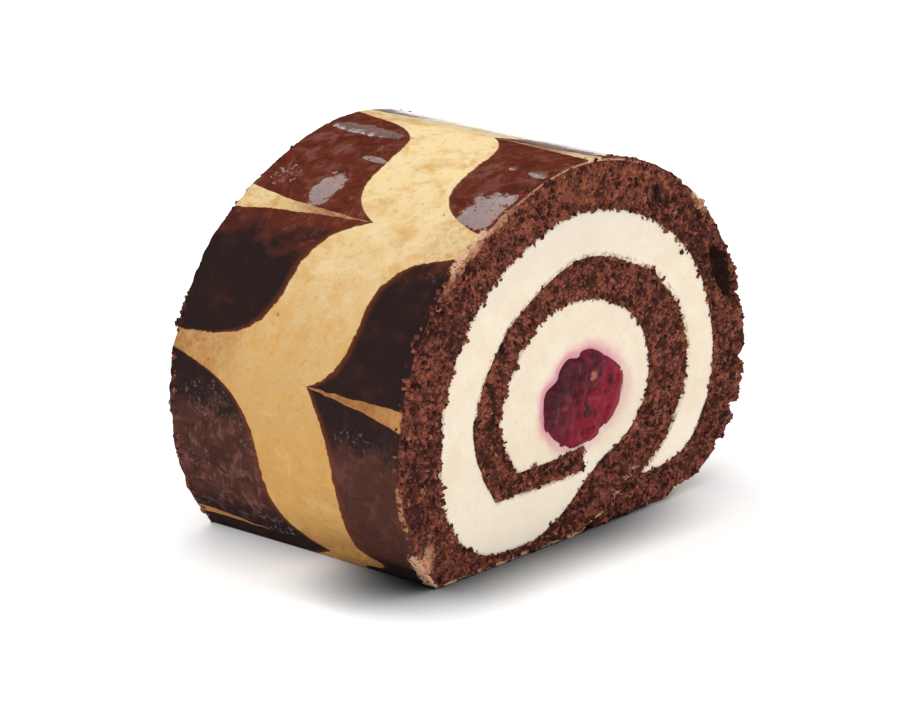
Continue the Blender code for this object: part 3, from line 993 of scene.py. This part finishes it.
CREAM_UNDERLAP = 0.0006
CREAM_UNDER_SKIN = 0.001
CREAM_STEP = 0.00036
CREAM_SETBACK = 0.00055
CREAM_DIP = 0.0007
CREAM_TIP = 676
CREAM_LAP = 317

# The cut cherry seen from the front end: radii in millimetres at even angles from +Y
# towards +Z, read round the fruit.
CHERRY_Y = 0.00168
CHERRY_Z = 0.02352
CHERRY_RADII = (
    10.9, 10.1, 8.9, 8.1, 7.9, 8.0, 7.9, 7.7, 8.9, 9.1, 8.8, 10.8,
    10.9, 10.8, 10.3, 9.7, 9.3, 9.1, 8.7, 8.4, 8.4, 8.6, 9.3, 10.3)


def cherry_radius(turns):
    """The cherry's radius, in metres, at angles in whole turns."""
    count = len(CHERRY_RADII)
    place = np.mod(turns, 1.0) * count
    i = np.floor(place).astype(int)
    t = place - i
    values = [np.take(CHERRY_RADII, (i + step) % count) for step in (-1, 0, 1, 2)]
    before, here, after, later = values
    return 0.001 * (
        here + 0.5 * t * (after - before + t * (
            2 * before - 5 * here + 4 * after - later + t * (3 * (here - after) + later - before))))


def inside_loop(points, loop):
    """Which points lie inside a closed loop."""
    found = np.zeros(len(points), bool)
    ends = np.roll(loop, -1, axis=0)
    for (y0, z0), (y1, z1) in zip(loop, ends):
        if z0 == z1:
            continue
        crosses = (points[:, 1] < z0) != (points[:, 1] < z1)
        reach = y0 + (points[:, 1] - z0) * (y1 - y0) / (z1 - z0)
        found ^= crosses & (points[:, 0] < reach)
    return found


def nearest(points, line):
    """Distance from each point to the nearest point of a line."""
    found = np.full(len(points), 1.0)
    for start in range(0, len(points), 2000):
        part = points[start:start + 2000]
        gaps = part[:, None, :] - line[None, :, :]
        found[start:start + 2000] = np.sqrt((gaps ** 2).sum(2).min(1))
    return found


creamed = even_angles(cream_side, SHEET_START + 4, CREAM_TIP, CREAM_STEP)
creamed_line = cream_side(creamed)
lapped = even_angles(skin_side, SHEET_START + 4, CREAM_LAP, CREAM_STEP)
lapped_line = skin_side(lapped)
from_corner = np.hypot(*(lapped_line - skin_side(np.array([float(INNER_CORNER)]))).T)
clear_of_corner = (from_corner > 1.1 * CREAM_UNDER_SKIN) | (from_corner < 1e-6)
cream_loop = np.concatenate([
    creamed_line + sideways(creamed_line) * CREAM_UNDERLAP,
    (lapped_line - sideways(lapped_line) * CREAM_UNDER_SKIN)[clear_of_corner][::-1]])
sheet_loop = np.concatenate([creamed_line, lapped_line[::-1]])
cream_loop[:, 1] = np.maximum(cream_loop[:, 1], 0.0007)
round_turns = np.linspace(0, 1, 120, endpoint=False)
fruit_radius = cherry_radius(round_turns) - 0.0005
fruit_loop = np.stack([
    CHERRY_Y + fruit_radius * np.cos(2 * np.pi * round_turns),
    CHERRY_Z + fruit_radius * np.sin(2 * np.pi * round_turns)], 1)
low_y, low_z = cream_loop.min(0)
high_y, high_z = cream_loop.max(0)
grid_y, grid_z = np.meshgrid(
    np.arange(low_y, high_y, CREAM_STEP), np.arange(low_z, high_z, CREAM_STEP * 0.866))
grid_y[1::2] += CREAM_STEP / 2
grid = np.stack([grid_y.ravel(), grid_z.ravel()], 1)
borders = np.concatenate([cream_loop, fruit_loop])
grid = grid[inside_loop(grid, cream_loop) & ~inside_loop(grid, fruit_loop)]
grid = grid[nearest(grid, borders) > CREAM_STEP * 0.6]
flat_points = np.concatenate([borders, grid])
count = len(cream_loop)
fruit_count = len(fruit_loop)
edges = [(n, (n + 1) % count) for n in range(count)]
edges += [(count + n, count + (n + 1) % fruit_count) for n in range(fruit_count)]
spots, _, triangles, *_ = delaunay_2d_cdt(
    [Vector(p) for p in flat_points.tolist()], edges, [], 0, 1e-9)
spots = np.array([tuple(p) for p in spots])
triangles = np.array(triangles)
centres = spots[triangles].mean(1)
triangles = triangles[inside_loop(centres, cream_loop) & ~inside_loop(centres, fruit_loop)]
used, triangles = np.unique(triangles, return_inverse=True)
spots = spots[used]
triangles = triangles.reshape(-1, 3)
total = len(spots)
border = {}
for a, b, c in triangles.tolist():
    for p, q in ((a, b), (b, c), (c, a)):
        if (q, p) in border:
            del border[(q, p)]
        else:
            border[(p, q)] = True
cream_levels = (CREAM_SETBACK - ROLL_LENGTH / 2, 0.0, ROLL_LENGTH / 2 - CREAM_SETBACK)
cream_points = np.concatenate([
    np.concatenate([np.full((total, 1), x), spots], 1) for x in cream_levels])
cream_faces = [tuple(t) for t in triangles[:, ::-1].tolist()]
cream_faces += [tuple(t) for t in (triangles + 2 * total).tolist()]
for low in (0, total):
    cream_faces += [(p + low, q + low, q + low + total, p + low + total) for p, q in border]
inner_spots = np.setdiff1d(np.arange(total), np.unique(list(border)))
kept = np.setdiff1d(np.arange(3 * total), inner_spots + total)
renumbered = np.full(3 * total, -1)
renumbered[kept] = np.arange(len(kept))
cream_faces = [tuple(renumbered[list(face)].tolist()) for face in cream_faces]
margin = nearest(spots, sheet_loop) * np.where(inside_loop(spots, sheet_loop), 1.0, -1.0)
fruit_gap = np.maximum(nearest(spots, fruit_loop) - 0.0005, 0.0)
torn_side = lapped_line[(lapped > TOOTHED[0] + 2) & (lapped < TOOTHED[-1] - 4)]
flush = 1 - smooth_step(nearest(spots, torn_side), 0.001, 0.0022)
whipped_cream = plain_mesh("whipped_cream", inside_box(cream_points[kept]), cream_faces, {
    "margin": np.tile(margin, 3)[kept],
    "fruit_gap": np.tile(fruit_gap, 3)[kept],
    "flush": np.tile(flush, 3)[kept],
    "cut": np.repeat([1.0, 0.0, 1.0], total)[kept]})

whip = Finish("whipped cream")
whip_wide = whip.noise(0.0055, 3.0, 0.55)
whip_fine = whip.noise(0.00085, 4.0, 0.65, 0.5)
whip_y = whip.split(whip.place, 1)
whip_z = whip.split(whip.place, 2)
crumby = whip.attribute("margin").rise(0.0006, -0.0001) * whip_fine.rise(0.44, 0.6)
upper_left = ((whip_z - CHERRY_Z) * 60.0 - (whip_y - CHERRY_Y) * 45.0).rise(-0.9, 0.7)
stain_reach = whip.attribute("fruit_gap") + (whip_wide - 0.5) * 0.0016 + (whip_fine - 0.5) * 0.0005
stain = stain_reach.rise(0.0026, -0.0004) * (0.3 + 0.7 * upper_left)
whip_tone = whip.layers((0.81, 0.685, 0.52), [
    (whip_wide.rise(0.35, 0.65), (0.85, 0.74, 0.585)),
    (whip_fine.rise(0.46, 0.3) * 0.4, (0.74, 0.59, 0.42)),
    # Painted light and shade: the cream is lighter towards the bottom and darker towards the top.
    (whip_z.rise(0.02, 0.003) * 0.8, (0.935, 0.83, 0.67)),
    (whip_z.rise(0.04, 0.054) * 0.6, (0.735, 0.665, 0.56)),
    (crumby * 0.7, (0.36, 0.18, 0.11)),
    (stain * 0.85, (0.66, 0.185, 0.3)),
])
whip.set(
    Base_Color=whip_tone, Roughness=0.55 + 0.2 * whip_fine, Specular_IOR_Level=0.25,
    Subsurface_Weight=0.35, Subsurface_Scale=0.0016, Subsurface_Radius=(1.0, 0.75, 0.45),
    Normal=whip.relief(whip_fine + whip_wide * 1.5, 0.00022))

whipping = Shaping("sawn cream", {
    "Wave Depth": 0.00045, "Wave Size": 0.006, "Fibre Depth": 0.00022, "Fibre Size": 0.001,
    "Edge Dip": CREAM_DIP})
swell = whipping.noise("Wave Size", 2.0, 0.5)
fibre = whipping.noise("Fibre Size", 3.0, 0.6, 0.6)
cream_margin = whipping.attribute("margin")
flush_edge = whipping.attribute("flush")
dipped = cream_margin.rise(0.0002, -0.0005) * (1.0 - flush_edge)
dipped = dipped + cream_margin.rise(-0.0004, -0.0009) * flush_edge
cream_depth = (
    swell * whipping.size("Wave Depth") + fibre * whipping.size("Fibre Depth") - 0.0003
    + dipped * whipping.size("Edge Dip") - flush_edge * 0.00012
    + whipping.attribute("fruit_gap").rise(0.0012, 0.0) * 0.0004)
whipping.close(whipping.sink_ends(cream_depth), whip.material)
whipping.shape(whipped_cream)
hold_inside(whipped_cream)
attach(whipped_cream, "root")
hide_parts("cream")


# Cherries
# Stoned dark cherries are pressed end to end along the middle of the roll. The saw cuts
# through one at each end, which leaves a wet, wrinkled face of dark skin and red flesh.

CHERRY_FIRST_X = 0.0215
CHERRY_SPACING = 0.0182
CHERRY_NECK = 0.2
CHERRY_SIDES = 96
CHERRY_RINGS = 34
CHERRY_SLICES = 26
CHERRY_SINK = 0.00015

fruit_turns = np.linspace(0, 1, CHERRY_SIDES, endpoint=False)
fruit_end = ROLL_LENGTH / 2 - CHERRY_SINK


def fruit_ring(x, share):
    """One ring of the row of cherries: share 1 at its side, 0 at the middle of a cut face."""
    swing = np.cos(np.pi * (x - CHERRY_FIRST_X) / CHERRY_SPACING)
    plump = 1.0 - CHERRY_NECK * (1.0 - np.abs(swing)) ** 2
    radius = cherry_radius(fruit_turns) * plump * share
    return np.stack([
        np.full(CHERRY_SIDES, x),
        CHERRY_Y + radius * np.cos(2 * np.pi * fruit_turns),
        CHERRY_Z + radius * np.sin(2 * np.pi * fruit_turns)], 1)


# Ring by ring from the far end to the near one: x, 1 on a cut face, and the share.
shares = [ring / CHERRY_RINGS for ring in range(1, CHERRY_RINGS)]
rings = [(-fruit_end, 1.0, share) for share in shares]
for slice_number in range(CHERRY_SLICES + 1):
    x = fruit_end * (2 * slice_number / CHERRY_SLICES - 1)
    rings.append((x, float(slice_number in (0, CHERRY_SLICES)), 1.0))
rings += [(fruit_end, 1.0, share) for share in reversed(shares)]
fruit_points = np.concatenate([fruit_ring(x, share) for x, _, share in rings])
fruit_faces = []
for loop in range(len(rings) - 1):
    for s in range(CHERRY_SIDES):
        t = (s + 1) % CHERRY_SIDES
        low = loop * CHERRY_SIDES
        high = low + CHERRY_SIDES
        fruit_faces.append((low + s, low + t, high + t, high + s))
hubs = [(-fruit_end, CHERRY_Y, CHERRY_Z), (fruit_end, CHERRY_Y, CHERRY_Z)]
first_hub = len(fruit_points)
last_loop = (len(rings) - 1) * CHERRY_SIDES
for s in range(CHERRY_SIDES):
    t = (s + 1) % CHERRY_SIDES
    fruit_faces.append((t, s, first_hub))
    fruit_faces.append((last_loop + s, last_loop + t, first_hub + 1))
fruit_points = inside_box(np.concatenate([fruit_points, hubs]))
cut_cherries = plain_mesh("cut_cherries", fruit_points, fruit_faces, {
    "cut": np.append(np.repeat([ring[1] for ring in rings], CHERRY_SIDES), (1, 1)),
    "share": np.append(np.repeat([ring[2] for ring in rings], CHERRY_SIDES), (0, 0))})

flesh = Finish("cut cherry flesh")
flesh_y = flesh.split(flesh.place, 1)
flesh_z = flesh.split(flesh.place, 2)
streaks = flesh.noise(0.0032, 4.0, 0.6, 1.2)
pulp = flesh.noise(0.0011, 3.0, 0.6, 0.8)
# Painted shade: the cut flesh darkens towards its upper left.
shade_lean = (flesh_y - CHERRY_Y) * 90.0 - (flesh_z - CHERRY_Z) * 75.0 + (streaks - 0.5) * 2.6
# A painted highlight: one pale glint on the flesh.
glint_distance = ((flesh_y - 0.0035) ** 2.0 + (flesh_z - 0.0268) ** 2.0) ** 0.5
flesh_tone = flesh.layers((0.06, 0.014, 0.02), [
    (shade_lean.rise(-0.75, 0.75), (0.225, 0.013, 0.027)),
    ((pulp - 0.5 + streaks * 0.4).rise(0.2, 0.46) * 0.35, (0.3, 0.024, 0.048)),
    ((pulp * 0.5 + streaks).rise(0.74, 0.58) * 0.8, (0.038, 0.008, 0.013)),
    ((glint_distance + (pulp - 0.5) * 0.0016).rise(0.0011, 0.0004) * 0.6, (0.5, 0.2, 0.13)),
    (flesh.attribute("share").rise(0.88, 1.0) * 0.6, (0.21, 0.012, 0.04)),
])
flesh.set(
    Base_Color=flesh_tone, Roughness=0.22 + 0.25 * pulp, Specular_IOR_Level=0.04,
    Coat_Weight=streaks.rise(0.58, 0.68) * 0.2, Coat_Roughness=0.12,
    Subsurface_Weight=0.12, Subsurface_Scale=0.002, Subsurface_Radius=(1.0, 0.15, 0.2),
    Normal=flesh.relief(pulp * 0.5 + streaks, 0.00018))

pulping = Shaping("cherry flesh", {
    "Fold Depth": 0.0007, "Fold Size": 0.0052, "Pulp Depth": 0.00014, "Pulp Size": 0.0013,
    "Rounding": 0.0006})
folds = pulping.noise("Fold Size", 2.0, 0.5, 0.8)
pulps = pulping.noise("Pulp Size", 3.0, 0.55, 0.5)
fold_depth = (
    folds.rise(0.35, 0.7) * pulping.size("Fold Depth") + pulps * pulping.size("Pulp Depth")
    + pulping.attribute("share").rise(0.8, 1.02) * pulping.size("Rounding"))
pulping.close(pulping.sink_ends(fold_depth), flesh.material)
pulping.shape(cut_cherries)
hold_inside(cut_cherries)
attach(cut_cherries, "root")
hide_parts("cherries")


# Table, light and camera
# A plain white table runs far back under soft light: one large lamp high behind the left
# shoulder of the roll, which the glaze mirrors, and even white light from all round. The
# table glows faintly, and a contact shadow is painted into its colour round the roll.

TABLE_HALF = 3.0
VIEW_TURN = 41.09
VIEW_HEIGHT = 16.85
VIEW_DISTANCE = 0.72
VIEW_AIM = (0.0201, -0.0267, 0.0351)
WINDOW = (-0.719, 0.22, 0.659)
LAMP_AIM = (0.0, 0.0, 0.03)
LAMP_DISTANCE = 0.9

table_corners = TABLE_HALF * np.array([(-1, -1, 0), (1, -1, 0), (1, 1, 0), (-1, 1, 0)])
table = plain_mesh("table", table_corners, [(0, 1, 2, 3)], {})
tabletop = Finish("white table")
# Painted shadow: the table's colour and glow darken close to the roll.
painted_shadow_reach = tabletop.node(
    "ShaderNodeAmbientOcclusion", {"samples": 12}, {"Distance": 0.016}, "AO")
table_x = tabletop.split(tabletop.place, 0)
table_y = tabletop.split(tabletop.place, 1)
depth_of_shade = (0.24 + 3.2 * table_x.rise(0.0, 0.026)) * (1.0 - 0.9 * table_y.rise(0.0, 0.032))
painted_contact_shadow = painted_shadow_reach ** depth_of_shade
white = tabletop.mix(tabletop.noise(0.05), (0.9, 0.9, 0.9), (0.92, 0.92, 0.92))
shaded = tabletop.mix(painted_contact_shadow, (0.0, 0.0, 0.0), white)
tabletop.set(
    Base_Color=shaded, Emission_Color=shaded, Emission_Strength=0.36, Roughness=0.9,
    Specular_IOR_Level=0.0)
table.data.materials.append(tabletop.material)

surround = bpy.data.worlds.new("studio")
surround.use_nodes = True
bpy.context.scene.world = surround
sky = Nodes(surround.node_tree)
backdrop = surround.node_tree.nodes["Background"]
ray = surround.node_tree.nodes.new("ShaderNodeLightPath")
glossy = Value(sky, ray.outputs["Is Glossy Ray"])
seen_direct = Value(sky, ray.outputs["Is Camera Ray"])
looking = sky.node("ShaderNodeTexCoord", {}, {}, "Generated")
horizon = sky.split(looking, 1).rise(0.3, 0.7) * sky.split(looking, 2).rise(0.22, 0.06)
towards_window = sky.node(
    "ShaderNodeVectorMath", {"operation": "DOT_PRODUCT"}, {0: looking, 1: WINDOW}, "Value")
mirrored = 0.03 + towards_window.rise(0.78, 0.86) * 0.56 + horizon * 0.4
plain_light = 0.88 + seen_direct * 0.42
strength = plain_light * (1.0 - glossy) + mirrored * glossy
sky.feed(backdrop.inputs["Color"], (1.0, 1.0, 1.0))
sky.feed(backdrop.inputs["Strength"], strength)


def facing(name, data, target, direction, distance):
    """A lamp or camera that faces a target from a distance in a direction."""
    holder = bpy.data.objects.new(name, data)
    holder.location = Vector(target) + direction * distance
    holder.rotation_euler = (-direction).to_track_quat("-Z", "Y").to_euler()
    bpy.context.scene.collection.objects.link(holder)
    return holder


def lamp(name, towards, size, power):
    """A square soft lamp that faces the roll from a direction."""
    light = bpy.data.lights.new(name, "AREA")
    light.size = size
    light.energy = power
    facing(name, light, LAMP_AIM, Vector(towards).normalized(), LAMP_DISTANCE)


lamp("high lamp", (-0.62, 0.3, 0.72), 0.45, 1.55)
lamp("front fill", (0.8, -0.5, 0.05), 0.5, 2.2)

turn = math.radians(VIEW_TURN)
rise = math.radians(VIEW_HEIGHT)
camera_data = bpy.data.cameras.new("camera")
camera_data.lens = 180.0
camera_data.sensor_width = 36.0
camera_data.clip_start = 0.01
camera_data.clip_end = 20.0
backwards = Vector((
    math.sin(turn) * math.cos(rise), -math.cos(turn) * math.cos(rise), math.sin(rise)))
bpy.context.scene.camera = facing("camera", camera_data, VIEW_AIM, backwards, VIEW_DISTANCE)
bpy.context.scene.view_settings.view_transform = "Standard"
